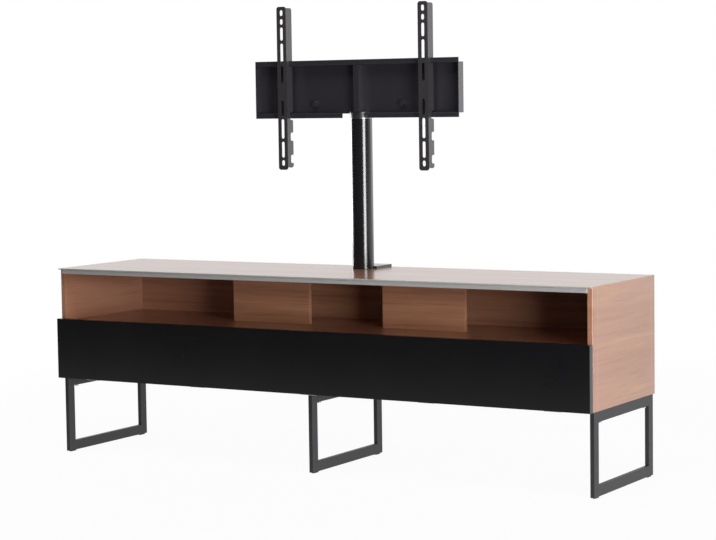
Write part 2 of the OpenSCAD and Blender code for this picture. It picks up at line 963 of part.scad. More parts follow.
module column_tube() {
  color(black_tone)
    placed()
      difference() {
        bar_z(column_r, 0, column_y, [tube_z0, collar_z - 2]);
        bar_z(column_r - column_wall, 0, column_y, [tube_z0 - 1, collar_z]);
      }
}

// flush bolts behind the column, through the top and the counter plate
module foot_bolts() {
  color(steel_tone)
    placed()
      for (s = [-1, 1])
        translate([s * foot_bolt_x, foot_bolt_y, 0])
          difference() {
            union() {
              translate([0, 0, tube_z0 - foot_head_h])
                cylinder(r1 = foot_bolt_r, r2 = foot_head_r, h = foot_head_h);
              bar_z(foot_bolt_r, 0, 0, [roof_z - counter_t - nut_h - 2, tube_z0 - foot_head_h]);
            }
            translate([0, 0, tube_z0 - 2.5])
              linear_extrude(3)
                hexagon(5);
          }
}

module foot_nuts() {
  color(steel_tone)
    placed()
      for (s = [-1, 1])
        translate([s * foot_bolt_x, foot_bolt_y, roof_z - counter_t - nut_h])
          linear_extrude(nut_h)
            difference() {
              hexagon(13);
              circle(r = foot_bolt_r + wood_gap);
            }
}

// screws from below into the foot plate, inside the column
module foot_screws() {
  color(steel_tone)
    placed()
      for (s = [-1, 1])
        translate([s * foot_screw_x, foot_screw_y, 0]) {
          translate([0, 0, roof_z - counter_t - 5.3])
            linear_extrude(5.3)
              hexagon(13);
          bar_z(foot_bolt_r, 0, 0, [roof_z - counter_t, tube_z0 + 2]);
        }
}

// steel plate under the top that spreads the load of the column
module counter_plate() {
  color(steel_tone)
    placed()
      difference() {
        translate([-counter_half, column_y - counter_half, roof_z - counter_t])
          linear_extrude(counter_t)
            round_rect(2 * counter_half, counter_l, 8);
        for (s = [-1, 1]) {
          bar_z(foot_bolt_r + 0.3, s * foot_bolt_x, foot_bolt_y, [roof_z - counter_t - 1, roof_z + 1]);
          bar_z(foot_bolt_r + 0.3, s * foot_screw_x, foot_screw_y, [roof_z - counter_t - 1, roof_z + 1]);
        }
      }
}

// plug in the top of the column with the pin that the head turns on
module swivel_spigot() {
  color(steel_tone)
    placed()
      difference() {
        union() {
          bar_z(column_r - column_wall - wood_gap, 0, column_y, [collar_z - 26, collar_z - 2]);
          bar_z(column_r, 0, column_y, [collar_z - 2, collar_z]);
          bar_z(spigot_r, 0, column_y, [collar_z, head_z - recess_h]);
        }
        bar_z(4 + wood_gap, 0, column_y, [head_z - recess_h - 22, head_z]);
      }
}

// washer and screw that keep the head on its pin
module swivel_washer() {
  color(steel_tone)
    placed()
      difference() {
        bar_z(washer_r, 0, column_y, [head_z - recess_h, head_z - recess_h + washer_t]);
        bar_z(4.2, 0, column_y, [head_z - recess_h - 1, head_z]);
      }
}

module swivel_screw() {
  color(steel_tone)
    placed()
      difference() {
        union() {
          bar_z(4, 0, column_y, [head_z - recess_h - 22, head_z - recess_h + washer_t]);
          bar_z(7, 0, column_y, [head_z - recess_h + washer_t, head_z - 0.1]);
        }
        translate([0, column_y, head_z - 1.8])
          linear_extrude(3)
            hexagon(5);
      }
}

// turning collar on top of the column
module head_collar() {
  color(mount_tone)
    placed()
      difference() {
        bar_z(column_r, 0, column_y, [collar_z, head_z]);
        bar_z(spigot_r + run_gap, 0, column_y, [collar_z - 1, head_z + 1]);
        bar_z(washer_r + 0.4, 0, column_y, [head_z - recess_h, head_z + 1]);
      }
}

// post that carries the mount plate in front of the column's axis
module head_post() {
  color(mount_tone)
    placed()
      difference() {
        block([post_x - post_half, post_x + post_half], [post_y0, web_y], [head_z, post_top]);
        for (z = post_bolt_zs)
          bar_y(4 + wood_gap, post_x, [web_y - 16, web_y + 1], z);
      }
}

// the rounded outside of one fold, around its inner corner
module fold(y, z, sy, sz) {
  intersection() {
    translate([y, z])
      circle(r = plate_t);
    translate([min(y, y + sy * plate_t), min(z, z + sz * plate_t)])
      square(plate_t);
  }
}

// section of the channel: two lips, two flanges and the web
module channel_section() {
  y1 = lip_y + plate_t;
  translate([lip_y, lip_z0])
    square([plate_t, low_z - lip_z0]);
  fold(y1, low_z, -1, 1);
  translate([y1, low_z])
    square([web_y - y1, plate_t]);
  fold(web_y, low_z + plate_t, 1, -1);
  translate([web_y, low_z + plate_t])
    square([plate_t, channel_h - 2 * plate_t]);
  fold(web_y, high_z - plate_t, 1, 1);
  translate([y1, high_z - plate_t])
    square([web_y - y1, plate_t]);
  fold(y1, high_z, -1, -1);
  translate([lip_y, high_z])
    square([plate_t, lip_z1 - high_z]);
}

// folded channel with two end returns and a notch around the collar
module mount_plate() {
  color(mount_tone)
    placed()
      difference() {
        union() {
          sheet_x([-plate_half, plate_half])
            channel_section();
          for (s = [-1, 1])
            block([s * plate_half - (s + 1) / 2 * plate_t, s * plate_half + (1 - s) / 2 * plate_t],
              [lip_y, web_y + 1], [low_z + 1, high_z - 1]);
        }
        block([-notch_half, notch_half], [lip_y - 1, web_y], [lip_z0 - 1, low_z + plate_t + 1]);
        block([-web_notch, web_notch], [lip_y - 1, web_y + plate_t + 1], [lip_z0 - 1, head_z]);
        for (z = post_bolt_zs)
          bar_y(4.3, post_x, [web_y - 1, web_y + plate_t + 1], z);
        for (s = [-1, 1])
          bar_y(3.2, s * web_screw_x, [web_y - 1, web_y + plate_t + 1], web_screw_z);
      }
}

module post_bolts() {
  color(steel_tone)
    placed()
      for (z = post_bolt_zs) {
        bar_y(4, post_x, [web_y - 16, web_y + plate_t], z);
        translate([post_x, web_y + plate_t + 5, z])
          rotate([90, 0, 0])
            linear_extrude(5)
              hexagon(13);
      }
}

// two round-head screws in the lower part of the web
module web_screws() {
  color(mount_tone)
    placed()
      for (s = [-1, 1]) {
        bar_y(9.5, s * web_screw_x, [web_y - web_head_l, web_y], web_screw_z);
        bar_y(3, s * web_screw_x, [web_y, web_y + plate_t + 7], web_screw_z);
      }
}

module web_nuts() {
  color(steel_tone)
    placed()
      for (s = [-1, 1])
        translate([s * web_screw_x, web_y + plate_t + 5, web_screw_z])
          rotate([90, 0, 0])
            linear_extrude(5)
              difference() {
                hexagon(10);
                circle(r = 3 + wood_gap);
              }
}

// outline of the slotted strip, measured down from its top
module strip_outline() {
  slots = [
    [19, 17.5], [45.5, 16.5], [82, 39.5], [140, screw_slot_l], [204, 51.5],
    [bracket_l - 186.25, 46], [bracket_l - 124, screw_slot_l],
    [bracket_l - 61.25, 48], [bracket_l - 20.75, 17]
  ];
  difference() {
    translate([-strip_w / 2, bracket_z0])
      round_rect(strip_w, bracket_l, strip_r);
    for (s = slots)
      slot_v(0, bracket_z1 - s[0], slot_w, s[1]);
  }
}

// outline of the side flange with the hooks for the two lips
module flange_outline() {
  y0 = strip_y;
  y1 = flange_y;
  top = bracket_z1 - 4;
  difference() {
    union() {
      polygon([
        [y0, bracket_z0 + strip_r], [lip_y + 4, bracket_z0 + 6],
        [y1 - 3, bracket_z0 + 8], [y1, bracket_z0 + 11],
        [y1, lip_z0 - 6], [lip_y - 1, lip_z0 - 2],
        [lip_y - 1, low_z + plate_t + 2], [y1, low_z + plate_t + 5],
        [y1, high_z - plate_t - 1], [lip_y - 1, high_z - plate_t - 1],
        [lip_y - 1, lip_z1], [lip_y + plate_t + 1, lip_z1],
        [lip_y + plate_t + 1, high_z + 1], [y1, high_z + 1],
        [y1, top - 8], [y1 - 8, top - 8], [y1 - 8, top], [y0 + 6, top], [y0, bracket_z1 - strip_r]
      ]);
      translate([y1 - 8, top - 8])
        circle(r = 8);
    }
    for (z = [bracket_z0 + 32.5, bracket_z0 + 100])
      translate([lip_y + 1, z - 12.5])
        round_rect(40, 25, 6);
  }
}

// one L-shaped bracket with its flange on the right-hand edge
module screen_bracket(x) {
  edge = x + strip_w / 2;
  color(mount_tone)
    placed() {
      translate([x, 0, 0])
        sheet_y([strip_y, strip_y + plate_t])
          strip_outline();
      sheet_x([edge - plate_t, edge])
        flange_outline();
      difference() {
        block([edge - 18, edge - plate_t], [clamp_y - 8, clamp_y + 8], [clamp_tab_z, clamp_tab_z + 3]);
        bar_z(clamp_r + wood_gap, edge - clamp_off, clamp_y, [clamp_tab_z - 1, clamp_tab_z + 4]);
      }
    }
}

module bracket_left() {
  screen_bracket(bracket_xs[0]);
}

module bracket_right() {
  screen_bracket(bracket_xs[1]);
}

// clamping screw that presses on the lower lip from below
module clamp_screw(x) {
  sx = x + strip_w / 2 - clamp_off;
  color(steel_tone)
    placed() {
      bar_z(clamp_r, sx, clamp_y, [clamp_tab_z - 3, lip_z0]);
      bar_z(6, sx, clamp_y, [clamp_tab_z - 11, clamp_tab_z - 3]);
    }
}

module clamp_screw_left() {
  clamp_screw(bracket_xs[0]);
}

module clamp_screw_right() {
  clamp_screw(bracket_xs[1]);
}

side_panel_left();
side_panel_right();
top_panel();
top_trim();
bottom_panel();
shelf_panel();
back_panel();
niche_panel_left();
niche_panel_right();
center_divider();
wood_dowels();
cam_discs();
cam_bolts();
back_screws();
leg_frame_left();
leg_frame_middle();
leg_frame_right();
leg_screws();
floor_glides();
flap_front();
hinge_leaves_body();
hinge_leaves_flap();
hinge_pins();
hinge_screws_body();
hinge_screws_flap();
stay_plate_left();
stay_plate_right();
stay_arm_left();
stay_arm_right();
stay_link_left();
stay_link_right();
flap_bracket_left();
flap_bracket_right();
stay_screws_body();
stay_screws_flap();
latch_body_left();
latch_body_right();
latch_plunger_left();
latch_plunger_right();
latch_screws();
strike_plates();
foot_plate();
column_tube();
foot_bolts();
foot_nuts();
foot_screws();
counter_plate();
swivel_spigot();
swivel_washer();
swivel_screw();
head_collar();
head_post();
mount_plate();
post_bolts();
web_screws();
web_nuts();
bracket_left();
bracket_right();
clamp_screw_left();
clamp_screw_right();
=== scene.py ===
import bmesh
import bpy
import json
import math
from mathutils import Matrix, Vector

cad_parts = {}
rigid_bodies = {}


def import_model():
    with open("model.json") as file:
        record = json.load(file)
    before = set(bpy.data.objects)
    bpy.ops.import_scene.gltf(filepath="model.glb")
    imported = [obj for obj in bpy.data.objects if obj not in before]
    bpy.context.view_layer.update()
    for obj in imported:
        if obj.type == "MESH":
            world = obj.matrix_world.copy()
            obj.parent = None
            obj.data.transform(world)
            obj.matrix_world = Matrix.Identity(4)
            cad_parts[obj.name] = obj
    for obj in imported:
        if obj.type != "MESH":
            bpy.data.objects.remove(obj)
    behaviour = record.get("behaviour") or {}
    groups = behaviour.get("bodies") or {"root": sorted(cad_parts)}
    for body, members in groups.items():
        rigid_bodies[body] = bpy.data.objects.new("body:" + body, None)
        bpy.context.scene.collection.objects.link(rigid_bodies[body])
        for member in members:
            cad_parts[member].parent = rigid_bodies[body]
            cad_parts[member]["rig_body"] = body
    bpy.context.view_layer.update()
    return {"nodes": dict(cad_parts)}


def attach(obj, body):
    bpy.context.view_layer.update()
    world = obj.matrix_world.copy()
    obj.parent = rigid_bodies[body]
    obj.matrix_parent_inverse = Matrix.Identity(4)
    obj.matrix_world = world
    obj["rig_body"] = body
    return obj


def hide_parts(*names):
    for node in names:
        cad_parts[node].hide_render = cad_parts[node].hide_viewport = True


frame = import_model()
nodes = frame["nodes"]
scene = bpy.context.scene
scene.view_settings.view_transform = "Standard"
print("frame loaded:", len(nodes), "nodes")


# camera, fitted to the photograph's edges
# place and farEnd in metres, angles in radians, focal length and image width in pixels, sensor in millimetres
cameraSet = {
    "place": (3.24683, -5.3774, 1.08087), "yaw": 0.5358, "pitch": -0.0797, "roll": -0.0142,
    "focal": 2126.88, "imageWidth": 716, "sensorWidth": 36, "farEnd": 60,
}


def makeCamera(c):
    sy, cy = math.sin(c["yaw"]), math.cos(c["yaw"])
    sp, cp = math.sin(c["pitch"]), math.cos(c["pitch"])
    sr, cr = math.sin(c["roll"]), math.cos(c["roll"])
    forward = Vector((-sy * cp, cy * cp, sp))
    upward = Vector((sy * sp, -cy * sp, cp))
    sideways = Vector((cy, sy, 0))
    right = sideways * cr + upward * sr
    up = upward * cr - sideways * sr
    data = bpy.data.cameras.new("camera")
    data.sensor_fit = "HORIZONTAL"
    data.sensor_width = c["sensorWidth"]
    data.lens = c["sensorWidth"] * c["focal"] / c["imageWidth"]
    data.clip_end = c["farEnd"]
    obj = bpy.data.objects.new("camera", data)
    turn = Matrix((right, up, -forward)).transposed().to_4x4()
    obj.matrix_world = Matrix.Translation(c["place"]) @ turn
    scene.collection.objects.link(obj)
    scene.camera = obj


makeCamera(cameraSet)
print("camera placed")


# small helpers for shader trees
def newMaterial(name):
    mat = bpy.data.materials.new(name)
    mat.use_nodes = True
    tree = mat.node_tree
    tree.nodes.clear()
    out = tree.nodes.new("ShaderNodeOutputMaterial")
    shader = tree.nodes.new("ShaderNodeBsdfPrincipled")
    tree.links.new(shader.outputs[0], out.inputs[0])
    return mat, tree, shader


def addNode(tree, kind, **settings):
    node = tree.nodes.new("ShaderNode" + kind)
    for key, value in settings.items():
        setattr(node, key, value)
    return node


def objectCoords(tree):
    return addNode(tree, "TexCoord").outputs["Object"]


def mapped(tree, scale=(1, 1, 1), shift=(0, 0, 0)):
    mapping = addNode(tree, "Mapping")
    mapping.inputs["Scale"].default_value = scale
    mapping.inputs["Location"].default_value = shift
    tree.links.new(objectCoords(tree), mapping.inputs[0])
    return mapping.outputs[0]


def stretched(axis, amount):
    # pattern scale that draws a pattern out along one axis
    scale = [1.0, 1.0, 1.0]
    scale[axis] = amount
    return scale


def noise(tree, vector, scale, detail=4, rough=0.55, distortion=0.0):
    node = addNode(tree, "TexNoise")
    settings = {"Scale": scale, "Detail": detail, "Roughness": rough, "Distortion": distortion}
    for name, value in settings.items():
        node.inputs[name].default_value = value
    tree.links.new(vector, node.inputs["Vector"])
    return node.outputs[0]


def ramp(tree, value, places, colours):
    node = addNode(tree, "ValToRGB")
    node.color_ramp.interpolation = "EASE"
    while len(node.color_ramp.elements) < len(places):
        node.color_ramp.elements.new(0.5)
    for element, place, colour in zip(node.color_ramp.elements, places, colours):
        element.position = place
        element.color = tuple(colour) + (1,)
    tree.links.new(value, node.inputs[0])
    return node.outputs[0]


def mixColour(tree, factor, a, b):
    node = addNode(tree, "Mix", data_type="RGBA")
    for socket, value in ((node.inputs[0], factor), (node.inputs[6], a), (node.inputs[7], b)):
        if isinstance(value, bpy.types.NodeSocket):
            tree.links.new(value, socket)
        elif hasattr(value, "__len__"):
            socket.default_value = tuple(value) + (1,)
        else:
            socket.default_value = value
    return node.outputs[2]


def rescale(tree, value, low, high, fromLow=0.0, fromHigh=1.0):
    node = addNode(tree, "MapRange")
    for socket, number in zip(node.inputs[1:5], (fromLow, fromHigh, low, high)):
        socket.default_value = number
    tree.links.new(value, node.inputs[0])
    return node.outputs[0]


def math2(tree, operation, a, b=0.0):
    node = addNode(tree, "Math", operation=operation)
    for socket, value in zip(node.inputs, (a, b)):
        if isinstance(value, bpy.types.NodeSocket):
            tree.links.new(value, socket)
        else:
            socket.default_value = value
    return node.outputs[0]


def bump(tree, height, s):
    node = addNode(tree, "Bump")
    node.inputs["Strength"].default_value = s["bump"]
    node.inputs["Distance"].default_value = s["bumpDepth"]
    tree.links.new(height, node.inputs["Height"])
    return node.outputs[0]


def roughnessFrom(tree, pattern, s):
    return rescale(tree, pattern, s["roughness"] - s["smoother"], s["roughness"] + s["rougher"])


def dress(tree, shader, colour, roughness, normal, constants):
    for name, value in (("Base Color", colour), ("Roughness", roughness), ("Normal", normal)):
        tree.links.new(value, shader.inputs[name])
    for name, value in constants.items():
        shader.inputs[name].default_value = value


def tone(r, g, b):
    # a colour as it is seen, from 0 to 255, in the linear values that a shader takes
    return tuple(((v / 255 + 0.055) / 1.055) ** 2.4 if v > 10 else v / 255 / 12.92 for v in (r, g, b))


def shaded(colour, factor, lift=0.0):
    return tuple(min(1, v * factor + lift) for v in colour)


# boards: a straight-grained walnut decor; in all finishes a scale is per metre
walnutSet = {
    "light": tone(197, 145, 111), "middle": tone(177, 124, 93), "dark": tone(142, 94, 69),
    "pore": tone(104, 68, 52), "pink": tone(186, 132, 112),
    "figure": {"scale": 11.0, "detail": 4, "rough": 0.55, "distortion": 0.8},
    "streak": {"scale": 75.0, "detail": 5, "rough": 0.6, "distortion": 0.25},
    "fine": {"scale": 520.0, "detail": 3, "rough": 0.6},
    "cloud": {"scale": 4.5, "detail": 3},
    "stretch": 0.035, "fineStretch": 0.012, "shift": (3.1, 1.7, 2.3),
    "figureStops": (0.30, 0.45, 0.62), "streakStops": (0.32, 0.5, 0.7), "poreStops": (0.34, 0.46),
    "streakShare": 0.42, "pinkShare": 0.6, "pinkFrom": 0.35, "pinkTo": 0.65, "poreShare": 0.30,
    "roughness": 0.46, "smoother": 0.05, "rougher": 0.08, "coat": 0.9, "coatRoughness": 0.3,
    "bump": 0.10, "bumpDepth": 0.0003,
}
# the boards inside the niche take a darker, redder copy of the walnut: painted shade of the niche
shadedInnerBoards = dict(walnutSet, dark=tone(118, 72, 50), pinkShare=0.25)
glossTop = dict(walnutSet, coat=0.85, coatRoughness=0.17)
beechSet = dict(walnutSet, light=tone(222, 190, 146), middle=tone(208, 172, 128), dark=tone(188, 150, 108),
                pore=tone(160, 124, 88))
sideSeams = (
    {"place": -0.170, "width": 0.0025, "colour": tone(214, 190, 178), "strength": 0.35},
    {"place": 0.199, "width": 0.006, "colour": tone(176, 160, 160), "strength": 0.45},
)
seamFade = {"from": 0.35, "to": 0.65}  # how far from its middle a seam fades, in widths


def withSeam(tree, body, axis, seam):
    # a fine line across the axis
    parts = addNode(tree, "SeparateXYZ")
    tree.links.new(objectCoords(tree), parts.inputs[0])
    off = math2(tree, "SUBTRACT", parts.outputs[axis], seam["place"])
    near = math2(tree, "ABSOLUTE", off)
    start, end = seam["width"] * seamFade["from"], seam["width"] * seamFade["to"]
    return mixColour(tree, rescale(tree, near, seam["strength"], 0.0, start, end), body, seam["colour"])


def walnut(name, grain, seed, s=walnutSet, seams=()):
    # grain is the axis along the boards, 0 to 2, and seams lie across it
    mat, tree, shader = newMaterial(name)
    shift = tuple(seed * v for v in s["shift"])
    along = mapped(tree, stretched(grain, s["stretch"]), shift)
    figure = noise(tree, along, **s["figure"])
    streak = noise(tree, along, **s["streak"])
    fine = noise(tree, mapped(tree, stretched(grain, s["fineStretch"]), shift), **s["fine"])
    cloud = noise(tree, mapped(tree, shift=shift), **s["cloud"])
    woods = (s["dark"], s["middle"], s["light"])
    base = ramp(tree, figure, s["figureStops"], woods)
    lines = ramp(tree, streak, s["streakStops"], woods)
    body = mixColour(tree, s["streakShare"], base, lines)
    pink = rescale(tree, cloud, 0.0, s["pinkShare"], s["pinkFrom"], s["pinkTo"])
    body = mixColour(tree, pink, body, s["pink"])
    closed = ramp(tree, fine, s["poreStops"], ((0, 0, 0), (1, 1, 1)))
    body = mixColour(tree, rescale(tree, closed, s["poreShare"], 0.0), body, s["pore"])
    for seam in seams:
        body = withSeam(tree, body, grain, seam)
    dress(tree, shader, body, roughnessFrom(tree, streak, s), bump(tree, fine, s),
          {"Coat Weight": s["coat"], "Coat Roughness": s["coatRoughness"]})
    return mat


# flap: black lacquered board
lacquerSet = {
    "colour": tone(11, 9, 13), "darker": 0.85,
    "cloud": {"scale": 7.0, "detail": 4}, "speck": {"scale": 1400.0, "detail": 2},
    "roughness": 0.28, "smoother": 0.03, "rougher": 0.04, "specular": 0.85, "bump": 0.03, "bumpDepth": 0.0002,
}


def blackLacquer(s):
    mat, tree, shader = newMaterial("blackLacquer")
    cloud = noise(tree, mapped(tree), **s["cloud"])
    speck = noise(tree, mapped(tree), **s["speck"])
    body = mixColour(tree, cloud, shaded(s["colour"], s["darker"]), s["colour"])
    dress(tree, shader, body, roughnessFrom(tree, cloud, s), bump(tree, speck, s),
          {"Specular IOR Level": s["specular"]})
    return mat


# frames, plate and brackets: powder coat
coatSet = {
    "lighter": 1.25, "lift": 0.004, "paleFrom": 0.2, "paleTo": 0.8,
    "speck": {"scale": 900.0, "detail": 3, "rough": 0.6}, "cloud": {"scale": 12.0, "detail": 4},
    "smoother": 0.06, "rougher": 0.08, "bump": 0.14, "bumpDepth": 0.0003,
}
frameCoat = dict(coatSet, colour=tone(45, 45, 48), roughness=0.45, specular=0.35)
mountCoat = dict(coatSet, colour=tone(44, 41, 48), roughness=0.37, specular=1.0)
# the brackets take a lighter copy of the plate's coat: painted light, which makes their strips read lighter
# than the shaded web
bracketCoatLit = dict(coatSet, colour=tone(57, 54, 58), roughness=0.37, specular=0.65)


def powderCoat(name, s):
    mat, tree, shader = newMaterial(name)
    speck = noise(tree, mapped(tree), **s["speck"])
    cloud = noise(tree, mapped(tree), **s["cloud"])
    pale = shaded(s["colour"], s["lighter"], s["lift"])
    body = mixColour(tree, rescale(tree, cloud, s["paleFrom"], s["paleTo"]), s["colour"], pale)
    dress(tree, shader, body, roughnessFrom(tree, speck, s), bump(tree, speck, s),
          {"Specular IOR Level": s["specular"]})
    return mat


# column: gloss black lacquer
columnSet = {
    "dark": tone(26, 26, 28), "light": tone(34, 33, 37),
    "cloud": {"scale": 16.0, "detail": 4}, "stretch": 0.35,
    "roughness": 0.21, "smoother": 0.02, "rougher": 0.02, "specular": 0.55,
    "coat": 0.35, "coatRoughness": 0.14, "bump": 0.004, "bumpDepth": 0.0002,
}


def glossLacquer(s):
    mat, tree, shader = newMaterial("columnLacquer")
    cloud = noise(tree, mapped(tree, stretched(2, s["stretch"])), **s["cloud"])
    body = mixColour(tree, cloud, s["dark"], s["light"])
    dress(tree, shader, body, roughnessFrom(tree, cloud, s), bump(tree, cloud, s),
          {"Specular IOR Level": s["specular"], "Coat Weight": s["coat"],
           "Coat Roughness": s["coatRoughness"]})
    return mat


# edge strip: aluminium, brushed along its length
stripSet = {
    "colour": tone(214, 212, 209), "lineDark": 0.82, "cloudDark": 0.9, "cloudShare": 0.25,
    "lines": {"scale": 1500.0, "detail": 4, "rough": 0.65}, "stretch": 0.02,
    "cloud": {"scale": 10.0, "detail": 3},
    "metallic": 0.35, "roughness": 0.36, "smoother": 0.06, "rougher": 0.1, "bump": 0.1, "bumpDepth": 0.0002,
}


def brushedStrip(s):
    mat, tree, shader = newMaterial("edgeAluminium")
    lines = noise(tree, mapped(tree, stretched(0, s["stretch"])), **s["lines"])
    cloud = noise(tree, mapped(tree), **s["cloud"])
    body = mixColour(tree, lines, shaded(s["colour"], s["lineDark"]), s["colour"])
    duller = shaded(s["colour"], s["cloudDark"])
    body = mixColour(tree, rescale(tree, cloud, 0.0, s["cloudShare"]), body, duller)
    dress(tree, shader, body, roughnessFrom(tree, lines, s), bump(tree, lines, s),
          {"Metallic": s["metallic"]})
    return mat


# fittings: zinc plate with its spangle
zincSet = {
    "dark": tone(150, 152, 156), "light": tone(196, 197, 200), "haze": tone(160, 158, 150), "hazeShare": 0.4,
    "spangleScale": 260.0, "lightFrom": 0.2, "lightTo": 0.8, "cloud": {"scale": 60.0, "detail": 4},
    "roughness": 0.34, "smoother": 0.08, "rougher": 0.08, "bump": 0.1, "bumpDepth": 0.0002,
}


def zincPlate(s):
    mat, tree, shader = newMaterial("zincPlate")
    spangle = addNode(tree, "TexVoronoi")
    spangle.inputs["Scale"].default_value = s["spangleScale"]
    tree.links.new(mapped(tree), spangle.inputs["Vector"])
    cloud = noise(tree, mapped(tree), **s["cloud"])
    flakes = rescale(tree, spangle.outputs["Color"], s["lightFrom"], s["lightTo"])
    body = mixColour(tree, flakes, s["dark"], s["light"])
    body = mixColour(tree, rescale(tree, cloud, 0.0, s["hazeShare"]), body, s["haze"])
    dress(tree, shader, body, roughnessFrom(tree, cloud, s), bump(tree, cloud, s), {"Metallic": 1.0})
    return mat


# glides and latches: moulded plastic
plasticSet = {
    "lighter": 1.15, "lift": 0.003,
    "grain": {"scale": 1100.0, "detail": 3}, "cloud": {"scale": 30.0, "detail": 3},
    "smoother": 0.05, "rougher": 0.07, "bump": 0.15, "bumpDepth": 0.0002,
}
glidePlastic = dict(plasticSet, colour=tone(24, 24, 25), roughness=0.5)
latchPlastic = dict(plasticSet, colour=tone(92, 92, 95), roughness=0.5)
plungerPlastic = dict(plasticSet, colour=tone(205, 205, 203), roughness=0.35)


def plastic(name, s):
    mat, tree, shader = newMaterial(name)
    grain = noise(tree, mapped(tree), **s["grain"])
    cloud = noise(tree, mapped(tree), **s["cloud"])
    body = mixColour(tree, cloud, s["colour"], shaded(s["colour"], s["lighter"], s["lift"]))
    dress(tree, shader, body, roughnessFrom(tree, grain, s), bump(tree, grain, s), {})
    return mat


finishes = {
    "walnutX": walnut("walnutAlongX", 0, 0.3, shadedInnerBoards),
    "walnutTop": walnut("walnutTop", 0, 1.1, glossTop),
    "walnutSide": walnut("walnutSide", 1, 2.2, seams=sideSeams),
    "walnutY": walnut("walnutAlongY", 1, 3.4),
    "beech": walnut("beechDowel", 0, 5.0, beechSet),
    "lacquer": blackLacquer(lacquerSet),
    "frame": powderCoat("framePowderCoat", frameCoat),
    "mount": powderCoat("mountPowderCoat", mountCoat),
    "bracket": powderCoat("bracketPowderCoat", bracketCoatLit),
    "column": glossLacquer(columnSet),
    "edge": brushedStrip(stripSet),
    "zinc": zincPlate(zincSet),
    "darkPlastic": plastic("darkPlastic", glidePlastic),
    "greyPlastic": plastic("greyPlastic", latchPlastic),
    "palePlastic": plastic("palePlastic", plungerPlastic),
}
finishOf = {
    "walnutX": ["bottom_panel", "shelf_panel", "back_panel", "niche_panel_left", "niche_panel_right"],
    "walnutTop": ["top_panel"],
    "walnutSide": ["side_panel_right"],
    "walnutY": ["center_divider", "side_panel_left"],
    "beech": ["wood_dowels"],
    "lacquer": ["flap_front"],
    "frame": ["leg_frame_left", "leg_frame_middle", "leg_frame_right"],
    "mount": ["head_collar", "head_post", "mount_plate", "web_screws"],
    "bracket": ["bracket_left", "bracket_right"],
    "column": ["foot_plate", "column_tube"],
    "edge": ["top_trim"],
    "darkPlastic": ["floor_glides"],
    "greyPlastic": ["latch_body_left", "latch_body_right"],
    "palePlastic": ["latch_plunger_left", "latch_plunger_right"],
}
finishByNode = {node: finish for finish, group in finishOf.items() for node in group}


def finishFor(name):
    # what has no finish of its own is a zinc plated fitting
    return finishes[finishByNode.get(name, "zinc")]


for name, obj in nodes.items():
    obj.data.materials.clear()
    obj.data.materials.append(finishFor(name))
print("finishes set")


# each board, bar and sheet gets the small edge radius of its kind; lengths in metres, angles in degrees
roundingSet = {"weld": 1e-6, "flatAngle": 0.4, "cornerAngle": 38, "sharpAngle": 50, "wallWeight": 80}
edgeSet = {
    "boards": {
        "nodes": ["side_panel_left", "side_panel_right", "top_panel", "bottom_panel", "shelf_panel",
                  "niche_panel_left", "niche_panel_right", "center_divider"],
        "width": 0.0006, "segments": 2,
    },
    "back": {"nodes": ["back_panel"], "width": 0.0002, "segments": 1},
    "flap": {"nodes": ["flap_front"], "width": 0.0010, "segments": 3},
    "trim": {
        "nodes": ["top_trim"], "width": 0.0003, "segments": 2,
        "lip": {"height": 0.575, "radius": 0.0017, "segments": 6, "reach": 1e-5},
    },
    "frames": {
        "nodes": ["leg_frame_left", "leg_frame_middle", "leg_frame_right"],
        "width": 0.0012, "segments": 3,
    },
    "column": {"nodes": ["foot_plate", "column_tube", "head_collar"], "width": 0.0004, "segments": 2},
    "sheets": {
        "nodes": ["mount_plate", "bracket_left", "bracket_right", "head_post"],
        "width": 0.00045, "segments": 2,
    },
    "fittings": {
        "nodes": ["web_screws", "counter_plate", "latch_body_left", "latch_body_right", "floor_glides",
                  "stay_arm_left", "stay_arm_right", "stay_link_left", "stay_link_right"],
        "width": 0.0003, "segments": 2,
    },
}


def finishedMesh(obj):
    # the mesh that the object's modifiers make; the object itself goes
    done = bpy.data.meshes.new_from_object(obj.evaluated_get(bpy.context.evaluated_depsgraph_get()))
    bpy.data.objects.remove(obj)
    return done


def applied(mesh, kind, **settings):
    # the mesh with one modifier applied
    rough = bpy.data.objects.new("rough", mesh)
    scene.collection.objects.link(rough)
    modifier = rough.modifiers.new("step", kind)
    for key, value in settings.items():
        setattr(modifier, key, value)
    return finishedMesh(rough)


def standIn(name, suffix, mesh):
    # the finished mesh takes the node's place on its body
    piece = bpy.data.objects.new(name + suffix, mesh)
    scene.collection.objects.link(piece)
    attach(piece, nodes[name]["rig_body"])
    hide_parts(name)
    return piece


def roundLip(bm, lip):
    # the upper front corner of the edge strip is rolled round
    front = min(v.co.y for v in bm.verts)

    def onCorner(v):
        return abs(v.co.z - lip["height"]) < lip["reach"] and abs(v.co.y - front) < lip["reach"]

    edges = [edge for edge in bm.edges if all(onCorner(v) for v in edge.verts)]
    bmesh.ops.bevel(bm, geom=edges, offset=lip["radius"], segments=lip["segments"], profile=0.5,
                    affect="EDGES")


